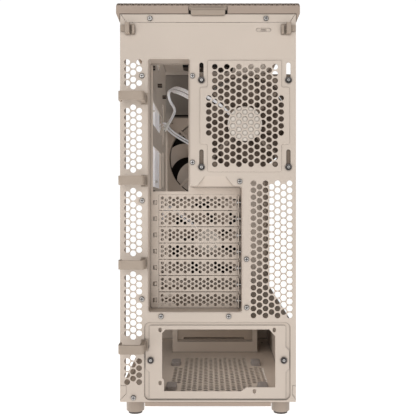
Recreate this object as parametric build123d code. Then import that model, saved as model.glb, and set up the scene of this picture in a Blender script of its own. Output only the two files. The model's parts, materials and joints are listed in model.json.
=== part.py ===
from build123d import *
import math
import os

# Open tower chassis for a full-size board, millimetres.  Z is up, the rear panel faces -Y, and +X is to the
# right as seen from the rear.  The origin is at the middle of the footprint, on the surface under the feet.

# ---------------------------------------------------------------- driving dimensions
SHEET = 1.0                                # steel sheet
REAR = -187.7                              # outer face of the rear panel
HALF_W = 106.25                            # half width of the steel chassis
PAN_Z, PANEL_TOP, FRAME_TOP = 26.0, 484.0, 494.0
TOTAL_H = 508.0
COVER_HALF_W = 111.0                       # half width of the top cover, over the side-panel seats
DEPTH = 372.0                              # rear face to the front sheet
FRONT_FACE = REAR + 402.0                  # face of the front cover
PITCH = 8.4                                # hexagonal perforation, hole to hole
COLUMN = PITCH * math.sqrt(3) / 2
HOLE_R = 3.45
RECESS_DEPTH = 28.0                        # the board's rear edge sits this far inside the rear face
SLOT_PITCH, SLOT_TOP_Z, SLOTS = 20.32, 267.0, 7
TRAY_X = -73.0                             # component side of the board tray
SHROUD_Z = 125.0                           # top of the power-supply shroud
REAR_FAN = (44.6, 362.0)                   # X, Z of the 120 mm fan
FRONT_FANS_Z = (343.5, 201.5)
STUD_X, STUD_Z = 96.0, (58.0, 260.0, 460.0)  # push studs of the front cover
FAN_HOLE = 52.5                            # a 120 mm fan's holes, from its middle
TOP_FANS = (66.0, 186.0, 306.0)            # three 120 mm places, in from the rear face
TOP_WINDOW_HALF_W, TOP_WINDOW = 42.0, (20.0, 352.0)
GRILLE_CENTRE = (44.6, 371.8)
GATE_TOP_Z, GATE_STEP, GATES = 392.1, 99.2, 4
FRAME_SCREWS = [(-79.7, 419.7), (-18.8, 419.7), (-18.8, 315.3), (-79.5, 269.0), (-79.7, 150.3), (38.4, 292.2),
                (46.5, 198.4), (46.8, 140.0), (25.0, 129.4), (-56.6, 129.3)]
OTHER_SCREWS = [(-70.0, 488.9), (70.0, 488.9), (-90.0, 31.2)]
PSU_HOLES = [(-57.9, 112.7), (80.1, 112.7), (-57.9, 48.7), (56.1, 38.7)]
PSU_SCREW_X, PSU_SCREW_Z = (-69.3, 91.6), 76.2
FOOT_X, FOOT_REAR, FOOT_FRONT, FOOT_R = 92.4, 45.0, 340.0, 11.5

os.makedirs("parts", exist_ok=True)


# ---------------------------------------------------------------- small helpers
def deep(distance):
    """The Y of a plane this far in from the rear face."""
    return REAR + distance


def block(x, y, z):
    """A box from three (low, high) pairs."""
    size = [pair[1] - pair[0] for pair in (x, y, z)]
    middle = [(pair[0] + pair[1]) / 2 for pair in (x, y, z)]
    return Pos(*middle) * Box(*size)


def rod(axis, centre, radius, start, end):
    """A cylinder along X, Y or Z.  centre is its place on the other two axes, in X, Y, Z order."""
    turn = {"x": Rot(0, 90, 0), "y": Rot(90, 0, 0), "z": Rot(0, 0, 0)}[axis]
    middle, (a, b) = (start + end) / 2, centre
    place = {"x": Pos(middle, a, b), "y": Pos(a, middle, b), "z": Pos(a, b, middle)}[axis]
    return place * turn * Cylinder(radius, end - start)


def rect(x, z, radius=0.0):
    """A rectangle wire from two (low, high) pairs, with rounded corners where a radius is given."""
    size = (x[1] - x[0], z[1] - z[0])
    shape = RectangleRounded(*size, radius) if radius else Rectangle(*size)
    return (Pos((x[0] + x[1]) / 2, (z[0] + z[1]) / 2) * shape).face().outer_wire()


def outline(points, radius=0.0):
    """A closed wire through the points, with every corner rounded where a radius is given."""
    shape = make_face(Polyline(*points, close=True))
    if radius:
        shape = fillet(shape.vertices(), radius)
    return shape.face().outer_wire()


def grown(points, radius, by):
    """The rounded outline through the points, moved outward by a distance."""
    shape = fillet(make_face(Polyline(*points, close=True)).vertices(), radius)
    return offset(shape, by).face().outer_wire()


def wider(pair, by):
    return (pair[0] - by, pair[1] + by)


def hole(x, z, radius):
    return Wire.make_circle(radius, Plane((x, z, 0)))


def slot(x, z, width, length, upright=True):
    shape = Rot(0, 0, 90 if upright else 0) * SlotOverall(length, width)
    return (Pos(x, z) * shape).face().outer_wire()


def facing_rear(y0, thickness, edge, holes=()):
    """A flat sheet across Y: edge and holes are wires in X and Z."""
    plane = Plane((0, y0, 0), x_dir=(1, 0, 0), z_dir=(0, -1, 0))
    return extrude(plane * Face(edge, list(holes)), amount=thickness, dir=(0, 1, 0))


def level(z0, thickness, edge, holes=()):
    """A flat sheet across Z: edge and holes are wires in X and Y."""
    return extrude(Pos(0, 0, z0) * Face(edge, list(holes)), amount=thickness, dir=(0, 0, 1))


def upright(x0, thickness, edge, holes=()):
    """A flat sheet across X: edge and holes are wires in Y and Z."""
    plane = Plane((x0, 0, 0), x_dir=(0, 1, 0), z_dir=(1, 0, 0))
    return extrude(plane * Face(edge, list(holes)), amount=thickness, dir=(1, 0, 0))


def save(name, *shapes):
    """Writes one named piece: every separate solid in the shapes, side by side."""
    solids = [solid for shape in shapes for solid in shape.solids()]
    export_step(Compound(children=solids) if len(solids) > 1 else solids[0], f"parts/{name}.step")


# ---------------------------------------------------------------- rear panel
def soften_rear(shape, radius, along=None):
    """Rounds the edges in the shape's rearmost plane, or only those that follow a wire in X and Z."""
    rim = shape.edges().group_by(Axis.Y)[0]
    if along:
        rim = [edge for edge in rim if along.distance_to(Vertex((edge @ 0.5).X, (edge @ 0.5).Z, 0)) < 0.01]
    return fillet(rim, radius)


def grille_centres():
    """Thirteen columns of round holes over the fan, the outer two short."""
    cx, cz = GRILLE_CENTRE
    found = []
    for column in range(-6, 7):
        count = 6 if abs(column) == 6 else (15 if column % 2 else 14)
        for row in range(count):
            found.append((cx + column * COLUMN, cz + (row - (count - 1) / 2) * PITCH))
    return found


def left_strip_holes():
    """Three columns beside the cable space, with gaps for the cable gates and for the frame's screws."""
    found = []
    for column in range(3):
        x, staggered = -97.7 + column * COLUMN, column == 1
        for row in range(46 if staggered else 47):
            z = (432.2 if staggered else 436.4) - row * PITCH
            reach = 10.0 if staggered else 13.0
            behind_gate = any(abs(z - (GATE_TOP_Z - k * GATE_STEP)) < reach for k in range(GATES))
            at_screw = column == 2 and min(abs(z - s) for s in (419.7, 269.0, 150.3)) < 2.5
            if not behind_gate and not at_screw:
                found.append(hole(x, z, HOLE_R + 0.05))
    return found


def right_strip_holes():
    found = []
    for column in range(7):
        odd = column % 2
        for row in range(19 if odd else 20):
            found.append(hole(54.9 + column * COLUMN, (285.8 if odd else 290.0) - row * PITCH, HOLE_R))
    return found


RECESS_OUTLINE = [(-72.06, 134.9), (40.9, 134.9), (40.9, 286.4), (-22.3, 286.4),
                  (-22.3, 440.1), (-72.06, 440.1)]
SCOOP_LOW, SCOOP_HIGH, SCOOP_TOP_Z, SCOOP_DEPTH = (-13.9, 31.4), (-4.0, 21.3), 298.6, 10.0
PLATEAU = [(-0.5, 304.0), (88.7, 304.0), (88.7, 337.2), (98.4, 337.2), (98.4, 406.0), (88.7, 406.0),
           (88.7, 438.3), (-0.5, 438.3), (-0.5, 406.0), (-9.7, 406.0), (-9.7, 337.2), (-0.5, 337.2)]
PLATEAU_RISE = 1.0
PSU_STEP_X, PSU_STEP_Z, PSU_STEP = (-77.0, 99.5), (28.2, 122.4), 2.0
EARS = {-1: 98.6, 1: 101.6}                # where the floor pan's two corner ears begin, from the middle
EAR_TOP, EAR_LOW, EAR_CORNER = 46.0, 35.7, 27.7
MITRE_LOW, MITRE_HIGH = 99.0, 105.2        # the mitred seam with the top frame, from the middle


def scoop(grow, depth):
    """The sloping finger relief above the slots, grown outward by a wall thickness."""
    low, high = (SCOOP_LOW[0] - grow, SCOOP_LOW[1] + grow), (SCOOP_HIGH[0] - grow, SCOOP_HIGH[1] + grow)
    bottom, top = RECESS_OUTLINE[2][1], SCOOP_TOP_Z + grow
    trapezium = outline([(low[0], bottom), (low[1], bottom), (high[1], top), (high[0], top)])
    body = facing_rear(REAR, depth, trapezium)
    slope = outline([(REAR, bottom), (REAR + depth, bottom), (REAR, top)])
    return body & upright(-40, 100, slope)


def rear_panel():
    """The outer sheet: perforated strips, raised fan plateau and the stepped seat for the supply bracket."""
    edge = outline([
        (-HALF_W, EAR_CORNER), (-EARS[-1], EAR_LOW), (-EARS[-1], EAR_TOP), (-HALF_W, EAR_TOP),
        (-HALF_W, FRAME_TOP), (-MITRE_HIGH, FRAME_TOP), (-MITRE_LOW, PANEL_TOP),
        (MITRE_LOW, PANEL_TOP), (MITRE_HIGH, FRAME_TOP), (HALF_W, FRAME_TOP),
        (HALF_W, EAR_TOP), (EARS[1], EAR_TOP), (EARS[1], EAR_LOW), (HALF_W, EAR_CORNER),
        (HALF_W, PAN_Z), (-HALF_W, PAN_Z)])
    screws = [hole(x, z, 1.6) for x, z in FRAME_SCREWS + OTHER_SCREWS if z < PANEL_TOP]
    fan_slots = [slot(REAR_FAN[0] + side * FAN_HOLE, z, 5.2, 24.0)
                 for side in (-1, 1) for z in (423.9, 318.9)]
    lock_x, lock_z = 67.0, 475.2
    lock_slot = slot(lock_x, lock_z, 5.0, 18.6, upright=False)
    lock_floor = facing_rear(deep(SHEET), SHEET, slot(lock_x, lock_z, 7.0, 20.6, upright=False),
                             [slot(lock_x, lock_z, 3.0, 7.0, upright=False)])
    main = facing_rear(REAR, SHEET, edge, [
        grown(RECESS_OUTLINE, RECESS_CORNER, LIP + 0.1), grown(PLATEAU, 2.0, -1.0),
        rect(wider(PSU_STEP_X, 0.5), wider(PSU_STEP_Z, 0.5), 7.5), lock_slot,
        *screws, *fan_slots, *left_strip_holes(), *right_strip_holes()])
    plateau = soften_rear(facing_rear(REAR - PLATEAU_RISE, SHEET, outline(PLATEAU, 2.0)), 0.8)
    plateau -= [rod("y", centre, HOLE_R - 0.05, REAR - 3.0, REAR + 1.0) for centre in grille_centres()]
    step_in = facing_rear(deep(PSU_STEP), SHEET, rect(PSU_STEP_X, PSU_STEP_Z, 7.0),
                          [rect((-62.0, 85.0), (34.0, 117.4), 2.0),
                           *[hole(x, PSU_SCREW_Z, 1.8) for x in PSU_SCREW_X]])
    wall = facing_rear(REAR, PSU_STEP + SHEET, rect(wider(PSU_STEP_X, 1.0), wider(PSU_STEP_Z, 1.0), 8.0),
                       [rect(PSU_STEP_X, PSU_STEP_Z, 7.0)])
    wall = soften_rear(wall, 0.7, rect(PSU_STEP_X, PSU_STEP_Z, 7.0))
    left = block((-HALF_W, -HALF_W + SHEET), (REAR, deep(50.8)), (EAR_TOP, PANEL_TOP))
    right = block((HALF_W - SHEET, HALF_W), (REAR, deep(20.0)), (EAR_TOP, PANEL_TOP))
    panel = main + [plateau, step_in, wall, left, right, lock_floor, scoop(1.0, SCOOP_DEPTH + 1.0)]
    return panel - scoop(0.0, SCOOP_DEPTH)


TAB = 3.4                                  # half width of a screw tab
RECESS_CORNER, LIP, LIP_ROUND = 2.6, 1.2, 1.0


def slot_frame():
    """The set-back tub that carries the port opening and the seven slots, screwed on by its tabs."""
    inner = outline(RECESS_OUTLINE, RECESS_CORNER)
    walls = facing_rear(REAR, RECESS_DEPTH + SHEET, grown(RECESS_OUTLINE, RECESS_CORNER, SHEET), [inner])
    walls += facing_rear(REAR, SHEET, grown(RECESS_OUTLINE, RECESS_CORNER, LIP), [inner])
    walls = soften_rear(walls, LIP_ROUND, inner)
    bottom, top = slot_z(SLOTS - 1) - 9.9, slot_z(0) + 9.9
    notches = [rect((-68.7, -63.7), (slot_z(k) - 2.8, slot_z(k) + 2.8)) for k in range(SLOTS)]
    floor = facing_rear(deep(RECESS_DEPTH), SHEET, inner, [
        rect((-68.9, -24.45), (280.7, 439.2)), rect((-61.6, 38.4), (bottom, top)), *notches])
    tabs = [facing_rear(deep(SHEET), SHEET, rect((x - TAB, x + TAB), (z - TAB, z + TAB), 1.0))
            for x, z in FRAME_SCREWS]
    links = [facing_rear(deep(SHEET), SHEET, link) for link in tab_links()]
    bores = [rod("y", place, 1.6, REAR, deep(3.0)) for place in FRAME_SCREWS]
    return walls + floor + tabs + links - bores - scoop(1.0, SCOOP_DEPTH + 1.0)


def tab_links():
    """Short bridges from each screw tab to the tub's nearest wall."""
    left, low, right, high, inner_x = -72.6, 134.4, 41.4, 286.9, -21.8
    found = []
    for x, z in FRAME_SCREWS:
        if x < left:
            found.append(rect((x, left), (z - TAB, z + TAB)))
        elif z < low:
            found.append(rect((x - TAB, x + TAB), (z, low)))
        elif x > right:
            found.append(rect((right, x), (z - TAB, z + TAB)))
        elif z > high and x > inner_x + 10.0:
            found.append(rect((x - TAB, x + TAB), (high, z)))
        else:
            found.append(rect((inner_x, x), (z - TAB, z + TAB)))
    return found


def slot_z(k):
    return SLOT_TOP_Z - k * SLOT_PITCH


def slot_cover(k):
    """A perforated blanking plate with its tongue at the board side and its screw tab at the open side."""
    z = slot_z(k)
    holes = []
    for column in range(20):
        for row in range(2 if column % 2 else 3):
            spread = (row - (0.5 if column % 2 else 1.0)) * 5.5
            holes.append(hole(-57.0 + column * 4.73, z + spread, 2.0))
    plate = facing_rear(deep(RECESS_DEPTH), SHEET, rect((-61.2, 38.0), (z - 9.7, z + 9.7)), holes)
    tongue = facing_rear(deep(RECESS_DEPTH + SHEET), SHEET, rect((-66.8, -58.0), (z - 2.2, z + 2.2)))
    tab = block((37.0, 38.0), (deep(RECESS_DEPTH - 11.0), deep(RECESS_DEPTH + SHEET)), (z - 8.0, z + 8.0))
    screw_hole = rod("x", (deep(RECESS_DEPTH - 6.0), z), 1.9, 36.0, 39.0)
    return plate + tongue + tab - screw_hole


def pan_head(axis, centre, start, sense, head_r=3.0, head_h=2.0, shank_r=1.5, shank=6.0):
    """A pan-head screw with a cross recess.  start is the head's seat, sense the way the head points."""
    outward = Axis((0, 0, 0), {"x": (sense, 0, 0), "y": (0, sense, 0)}[axis])
    head = rod(axis, centre, head_r, *sorted((start, start + sense * head_h)))
    head = fillet(head.edges().filter_by(GeomType.CIRCLE).sort_by(outward)[-1], head_h * 0.55)
    body = rod(axis, centre, shank_r, *sorted((start, start - sense * shank)))
    a, b = centre
    low, high = sorted((start + sense * head_h * 0.45, start + sense * (head_h + 1)))
    for turn in (0, 1):
        half = (head_r * 0.55, 0.45) if turn else (0.45, head_r * 0.55)
        if axis == "y":
            cross = block((a - half[0], a + half[0]), (low, high), (b - half[1], b + half[1]))
        else:
            cross = block((low, high), (a - half[0], a + half[0]), (b - half[1], b + half[1]))
        head = head - cross
    return head + body


# ---------------------------------------------------------------- power-supply bracket
def psu_bracket():
    """The removable plate that the power supply screws to."""
    left, right, low, high = -70.7, 93.8, 30.0, 118.2
    ear_left, ear_right = -75.3, 98.0
    edge = outline([(left, low), (right, low), (right, 62.0), (ear_right, 66.0), (ear_right, 88.0),
                    (right, 92.0), (right, high), (left, high), (left, 92.0), (ear_left, 88.0),
                    (ear_left, 66.0), (left, 62.0)], 2.0)
    window = outline([(-53.1, 38.7), (40.2, 38.7), (46.4, 43.4), (81.3, 43.4), (81.3, 105.3), (73.9, 113.4),
                      (-51.0, 113.4), (-55.5, 109.0), (-55.5, 54.5), (-53.1, 52.0)])
    slots = [slot(x, z, 4.0, 5.6) for x, z in PSU_HOLES]
    screws = [hole(x, PSU_SCREW_Z, 2.0) for x in PSU_SCREW_X]
    return facing_rear(deep(0.8), 1.2, edge, [window, *slots, *screws])


def thumbscrew(x, z, seat, head_r, head_h):
    """A collared screw: broad ring, raised driver boss with a cross."""
    middle = seat - head_h * 0.5
    ring = rod("y", (x, z), head_r, seat - head_h, seat)
    ring -= rod("y", (x, z), head_r * 0.62, seat - head_h - 1, middle)
    return ring + pan_head("y", (x, z), middle, -1, head_r * 0.55, head_h * 0.5, 1.5, 6.0)


# ---------------------------------------------------------------- chassis sheets
def bottom_pan():
    """The floor sheet with its intake perforation, upturned sides and the two rear corner ears."""
    holes = []
    for column in range(-8, 18):
        for row in range(26):
            x, d = column * COLUMN - 3.0, 46.0 + row * PITCH + (PITCH / 2 if column % 2 else 0)
            middle = -51.0 < x < 77.5 and 78.0 < d < 166.0
            core = -33.0 < x < 58.0 and d < 226.0
            if middle or core:
                holes.append(hole(x, deep(d), 3.2))
    feet = [hole(side * FOOT_X, deep(d), 2.6) for side in (-1, 1) for d in (FOOT_REAR, FOOT_FRONT)]
    pan = level(PAN_Z, SHEET, rect((-HALF_W, HALF_W), (deep(SHEET), deep(DEPTH))), holes + feet)
    for side in (-1, 1):
        x = sorted((side * HALF_W, side * (HALF_W - SHEET)))
        pan += block(x, (deep(SHEET), deep(DEPTH)), (PAN_Z, 40.0))
        near = side * (EARS[side] + 0.4)
        ear = outline([(side * HALF_W, EAR_CORNER + 0.6), (near, EAR_LOW + 0.5), (near, EAR_TOP - 0.5),
                       (side * HALF_W, EAR_TOP - 0.5)])
        pan += facing_rear(REAR, SHEET, ear)
        pan += block(x, (REAR, deep(12.0)), (EAR_CORNER + 1.6, EAR_TOP - 0.5))
    return pan


def top_frame():
    """The rim that ties the top of the chassis together: a long window between two rows of fan slots."""
    half, near, far, cut = TOP_WINDOW_HALF_W, deep(TOP_WINDOW[0]), deep(TOP_WINDOW[1]), 14.0
    window = outline([(-half, near + cut), (-half + cut, near), (half - cut, near), (half, near + cut),
                      (half, far - cut), (half - cut, far), (-half + cut, far), (-half, far - cut)])
    slots = [slot(sx * FAN_HOLE, deep(d + sy * FAN_HOLE), 4.6, 14.0, upright=False)
             for d in TOP_FANS for sx in (-1, 1) for sy in (-1, 1)]
    sheet_edge = rect((-HALF_W, HALF_W), (deep(SHEET), deep(DEPTH)))
    frame = level(FRAME_TOP - SHEET, SHEET, sheet_edge, [window, *slots])
    frame += block((-90.0, 90.0), (REAR, deep(2.0)), (FRAME_TOP - SHEET, FRAME_TOP))
    for side in (-1, 1):
        x = sorted((side * HALF_W, side * (HALF_W - SHEET)))
        frame += block(x, (deep(SHEET), deep(DEPTH)), (PANEL_TOP, FRAME_TOP))
    seam = 0.5
    flange = outline([(-MITRE_LOW + seam, PANEL_TOP + seam), (MITRE_LOW - seam, PANEL_TOP + seam),
                      (MITRE_HIGH - seam, FRAME_TOP), (-MITRE_HIGH + seam, FRAME_TOP)])
    screws = [hole(x, z, 1.6) for x, z in OTHER_SCREWS if z > PANEL_TOP]
    return frame + facing_rear(REAR, SHEET, flange, screws)


def board_tray():
    """The upright sheet that carries the main board, with two long windows and its cable openings."""
    grommet_z = ((163.0, 215.0), (222.0, 270.0), (290.0, 348.0), (360.0, 426.0))
    openings = [
        rect((deep(60), deep(240)), (288.0, 343.0), 4.0), rect((deep(60), deep(240)), (371.0, 402.0), 4.0),
        *[rect((deep(260), deep(286)), z, 8.0) for z in grommet_z],
        *[rect((deep(y), deep(y + 54)), (463.0, 477.0), 6.0) for y in (60, 150)],
    ]
    standoffs = [hole(deep(y), z, 1.9) for y, z in board_holes()]
    edge = rect((deep(RECESS_DEPTH + 1.2), deep(344.0)), (SHROUD_Z, PANEL_TOP + 8.8))
    return upright(TRAY_X - SHEET, SHEET, edge, openings + standoffs)


def board_holes():
    """The nine hole places of a full-size board, as depth from the rear face and height."""
    back, top = RECESS_DEPTH + 10.16, 436.8
    return [(back + y, top - z) for y in (0.0, 124.46, 227.33) for z in (0.0, 157.48, 284.48)]


def psu_shroud():
    """The cover over the power supply: a top sheet and a sloping right wall."""
    left, right_rear, right_front = -HALF_W + 30, 99.8, 104.9
    vents = [hole(-30 + c * COLUMN, deep(62 + r * PITCH + (PITCH / 2 if c % 2 else 0)), 2.9)
             for c in range(12) for r in range(10)]
    cable_slots = [rect((-70.0, -48.0), (deep(y), deep(y + 60)), 6.0) for y in (90, 190)]
    front = deep(345)
    top_edge = outline([(left, deep(1.2)), (right_rear, deep(1.2)), (right_front, front), (left, front)])
    wall_edge = outline([(right_rear - SHEET, deep(3.2)), (right_rear, deep(3.2)), (right_front, front),
                         (right_front - SHEET, front)])
    top = level(SHROUD_Z - SHEET, SHEET, top_edge, vents + cable_slots)
    return top + level(PAN_Z + SHEET, SHROUD_Z - PAN_Z - SHEET, wall_edge)


def front_frame():
    """The front sheet of the chassis, open behind the two big fans."""
    fans = [hole(0, z, 68.0) for z in FRONT_FANS_Z]
    screws = [hole(sx * 62.25, z + sz * 62.25, 2.2) for z in FRONT_FANS_Z for sx in (-1, 1) for sz in (-1, 1)]
    lower = rect((-60.0, 60.0), (64.0, 118.0), 6.0)
    studs = [hole(side * STUD_X, z, 3.3) for side in (-1, 1) for z in STUD_Z]
    edge = rect((-HALF_W, HALF_W), (PAN_Z, FRAME_TOP))
    rail_slot = rect((-60.0, 60.0), (419.4, 422.6))
    frame = facing_rear(deep(DEPTH), SHEET, edge, [*fans, *screws, lower, rail_slot, *studs])
    for side in (-1, 1):
        x = sorted((side * HALF_W, side * (HALF_W - SHEET)))
        frame += block(x, (deep(346.0), deep(DEPTH)), (40.4, PANEL_TOP - 0.4))
    return frame


# ---------------------------------------------------------------- cable gates and corner catches
GATE_HALF_H, GATE_OUT, GATE_PIN = 5.3, 26.6, (-77.5, -3.6)
GATE_WALL, PIN_R = 3.4, 1.5


def gate_z(k):
    return GATE_TOP_Z - k * GATE_STEP


def cable_gate(k):
    """A swinging C-shaped clip: knuckle on its pin, leg, outer bar and returned tip at the panel's edge."""
    z, (px, py) = gate_z(k), GATE_PIN
    pin_y = REAR + py
    inner, outer, tip_y = GATE_OUT - GATE_WALL, GATE_OUT, REAR - 9.0
    left, right = -105.2, px + 2.6
    path = [(right, pin_y), (right, REAR - outer), (left, REAR - outer), (left, tip_y), (left + 2.6, tip_y),
            (left + 2.6, REAR - inner), (px - 2.4, REAR - inner), (px - 2.4, pin_y)]
    shape = make_face(Polyline(*path, close=True))
    corners = shape.vertices().sort_by(Axis.Y)
    outside = [v for v in corners if v.Y < REAR - outer + 0.1]
    shape = fillet(outside, 4.0)
    bar = extrude(Pos(0, 0, z - GATE_HALF_H) * shape, amount=2 * GATE_HALF_H, dir=(0, 0, 1))
    knuckle = rod("z", (px, pin_y), 2.8, z - 3.4, z + 3.4)
    relief = [block((px - 6, px + 6), (pin_y - 3.3, REAR + 1), sorted((z + s * 3.3, z + s * 9.0)))
              for s in (-1, 1)]
    return (bar - relief) + knuckle - rod("z", (px, pin_y), PIN_R + 0.05, z - 6, z + 6)


def gate_bracket(k):
    """Two lugs and the pin, standing on a plate that is fixed to the rear panel."""
    z, (px, py) = gate_z(k), GATE_PIN
    pin_y = REAR + py
    made = block((px - 3.2, px + 5.2), (REAR - 0.4, REAR), (z - 7.0, z + 7.0))
    for side in (-1, 1):
        low, high = sorted((z + side * 3.6, z + side * 5.2))
        made += rod("z", (px, pin_y), 2.7, low, high)
        made += block((px - 2.7, px + 2.7), (pin_y, REAR - 0.3), (low, high))
    return made + rod("z", (px, pin_y), PIN_R, z - 5.0, z + 5.0)


def corner_catch(side):
    """The moulded catch for a side panel: flat plate, proud block and a thinner fin beside it."""
    def at(low, high):
        return sorted((side * low, side * high))
    plate = block(at(99.2, 105.6), (REAR - 1.2, REAR), (473.0, 480.7))
    body = block(at(94.0, 99.4), (REAR - 10.0, REAR), (469.4, 482.0))
    body = fillet(body.edges().filter_by(Axis.Z).group_by(Axis.Y)[0], 1.2)
    fin = block(at(88.4, 91.2), (REAR - 5.5, REAR), (469.9, 479.6))
    foot = block(at(88.4, 99.4), (REAR - 1.2, REAR), (469.4, 482.0))
    return plate + body + fin + foot


# ---------------------------------------------------------------- fans
STRUT = 3.0                                # thickness of a fan's motor base and struts


def fan_frame(size, bore, thickness, spacing, hub_r, at, y0):
    """A square fan housing with its bore, and the motor base and four struts on its rear face."""
    x, z = at
    half, flange, rim = size / 2, 4.0, spacing / 2 - 6.0
    square = (x - half, x + half), (z - half, z + half)
    corner = [hole(x + sx * spacing / 2, z + sz * spacing / 2, 2.2) for sx in (-1, 1) for sz in (-1, 1)]
    ring = facing_rear(y0, thickness, rect(*square, 7.0), [hole(x, z, bore), *corner])
    waist = facing_rear(y0 + flange, thickness - 2 * flange, rect(wider(square[0], 1), wider(square[1], 1)),
                        [hole(x, z, bore + 2.4)])
    corners = [block(sorted((x + sx * rim, x + sx * (half + 1))), (y0 + flange, y0 + thickness - flange),
                     sorted((z + sz * rim, z + sz * (half + 1)))) for sx in (-1, 1) for sz in (-1, 1)]
    ring = ring - [waist & cut for cut in corners]
    base = rod("y", (x, z), hub_r, y0, y0 + STRUT)
    reach = Pos((bore + hub_r) / 2, 0, 0) * Box(bore - hub_r + 2.5, STRUT, 4.0)
    spokes = [Pos(x, y0 + STRUT / 2, z) * Rot(0, 45 + 90 * k, 0) * reach for k in range(4)]
    socket = rod("y", (x, z), 5.0, y0, y0 + 9.0)
    return ring + [base, *spokes, socket] - rod("y", (x, z), 2.05, y0 - 1, y0 + thickness + 1)


def fan_rotor(bore, thickness, hub_r, blades, at, y0):
    """A cupped hub on its shaft with pitched blades, clear of the housing."""
    x, z = at
    low, high, tip, pitch_angle = y0 + STRUT + 1.0, y0 + thickness - 0.8, bore - 1.6, 34.0
    hub = rod("y", (x, z), hub_r, low, high) - rod("y", (x, z), hub_r - 2.0, low - 1, high - 2.0)
    shaft = rod("y", (x, z), 2.0, y0 + 0.5, high)
    swept = rod("y", (x, z), tip, low, high) - rod("y", (x, z), hub_r - 1.0, low - 1, high + 1)
    plate = Pos((tip + hub_r) / 2, 0, 0) * Rot(pitch_angle, 0, 0) * Box(tip - hub_r + 8, 1.6, 30.0)
    turned = [Pos(x, (low + high) / 2, z) * Rot(0, 360 / blades * k, 0) * plate for k in range(blades)]
    return hub + [shaft, *[whole & swept for whole in turned]]


# ---------------------------------------------------------------- covers
RIM = 3.2                                  # height of the top mesh's turned-down rim


def top_cover():
    """The lift-off top: rear wall with its notch, side walls, tapering cheeks and the seat for the mesh."""
    y0, y1, seat = REAR - 0.6, 185.6, TOTAL_H - RIM - 0.2
    x, y = (-COVER_HALF_W, COVER_HALF_W), (y0, y1)
    shell = block(x, y, (494.8, seat)) - block(wider(x, -3), wider(y, -3), (494.0, TOTAL_H))
    ledge = level(seat - 1.2, 1.2, rect(wider(x, -2), wider(y, -2)), [rect(wider(x, -8), wider(y, -8), 3.0)])
    shell = shell + ledge
    for side in (-1, 1):
        inner = side * (HALF_W + 0.5)
        cheek = outline([(side * COVER_HALF_W, 495.0), (inner, 495.0), (inner, 484.8)])
        shell += facing_rear(y0, y1 - y0, cheek)
    notch = block((-23.6, 23.6), (y0 - 1, y0 + 3.5), (494.0, 503.4))
    return shell - notch


def perforated(x, y, pitch, radius, margin):
    """Hexagonal field of holes inside a rectangle."""
    step = pitch * math.sqrt(3) / 2
    columns = int((x[1] - x[0] - 2 * margin) / step)
    most = int((y[1] - y[0] - 2 * margin) / pitch)
    cx, cy = (x[0] + x[1]) / 2, (y[0] + y[1]) / 2
    found = []
    for c in range(columns + 1):
        rows = most - c % 2
        for r in range(rows + 1):
            found.append(hole(cx + (c - columns / 2) * step, cy + (r - rows / 2) * pitch, radius))
    return found


def top_mesh():
    """The steel mesh that lies on the top cover, with its rim turned down."""
    x, y = (-COVER_HALF_W + 0.4, COVER_HALF_W - 0.4), (REAR - 0.2, 185.2)
    sheet = level(TOTAL_H - 1.4, 1.4, rect(x, y, 2.0), perforated(x, y, 12.0, 4.4, 10.0))
    inside = rect(wider(x, -SHEET), wider(y, -SHEET), 1.0)
    return sheet + level(TOTAL_H - RIM, RIM - 1.0, rect(x, y, 2.0), [inside])


def pull_tab():
    """The lip under the top cover's rear notch that a finger pulls to lift it."""
    upper = block((-22.6, 22.6), (REAR - 0.4, REAR + 2.2), (499.2, 503.2))
    lip = block((-20.6, 20.6), (REAR - 4.2, REAR - 0.7), (492.4, 498.0))
    lip = fillet(lip.edges().filter_by(Axis.Y).group_by(Axis.Z)[0], 2.2)
    web = block((-20.6, 20.6), (REAR - 2.4, REAR - 0.7), (497.6, 499.8))
    return upper + [lip, web, block((-20.6, 20.6), (REAR - 2.4, REAR + 1.0), (499.4, 501.0))]


FRONT_HALF_W, FRONT_LOW, CHIN_TOP = 108.5, 19.0, 66.0
IO_X, IO_Z = (-46.0, 46.0), (36.0, 50.0)


def front_shell(z):
    """The front moulding's hollow tray between two heights, with rounded vertical edges."""
    x, y = (-FRONT_HALF_W, FRONT_HALF_W), (deep(DEPTH + 2.2), FRONT_FACE)
    shell = block(x, y, z)
    shell = fillet(shell.edges().filter_by(Axis.Z).group_by(Axis.Y)[-1], 8.0)
    return shell - block(wider(x, -4), (y[0] - 1, y[1] - 5), (FRONT_LOW + 4, TOTAL_H - 4))


def front_stud(side, z):
    """A push stud with its boss and the rib that ties it to the side wall."""
    back, front = deep(DEPTH + 2.4), FRONT_FACE - 6.6
    x = sorted((side * (STUD_X - 1), side * (FRONT_HALF_W - 3)))
    stud = rod("y", (side * STUD_X, z), 4.5, back, front)
    stud += rod("y", (side * STUD_X, z), 3.0, back - 5.2, back + 1.0)
    return stud + block(x, (back, front), (z - 1.2, z + 1.2))


def front_cover():
    """The pull-off front: a deep frame around the mesh and four of its push studs."""
    frame = front_shell((CHIN_TOP + 0.2, TOTAL_H))
    frame -= block((-FRONT_HALF_W + 12, FRONT_HALF_W - 12), (0.0, FRONT_FACE + 1), (CHIN_TOP, TOTAL_H - 12))
    return frame + [front_stud(side, z) for side in (-1, 1) for z in STUD_Z[1:]]


def front_chin():
    """The lower part of the front, with the window for the ports and two push studs."""
    chin = front_shell((FRONT_LOW, CHIN_TOP)) + [front_stud(side, STUD_Z[0]) for side in (-1, 1)]
    return chin - block(wider(IO_X, 0.6), (0.0, FRONT_FACE + 1), wider(IO_Z, 0.6))


def front_mesh():
    x, z = (-FRONT_HALF_W + 7, FRONT_HALF_W - 7), (CHIN_TOP + 0.6, TOTAL_H - 7)
    return facing_rear(FRONT_FACE - 6.2, 1.2, rect(x, z, 3.0), perforated(x, z, 12.0, 4.4, 9.0))


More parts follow.
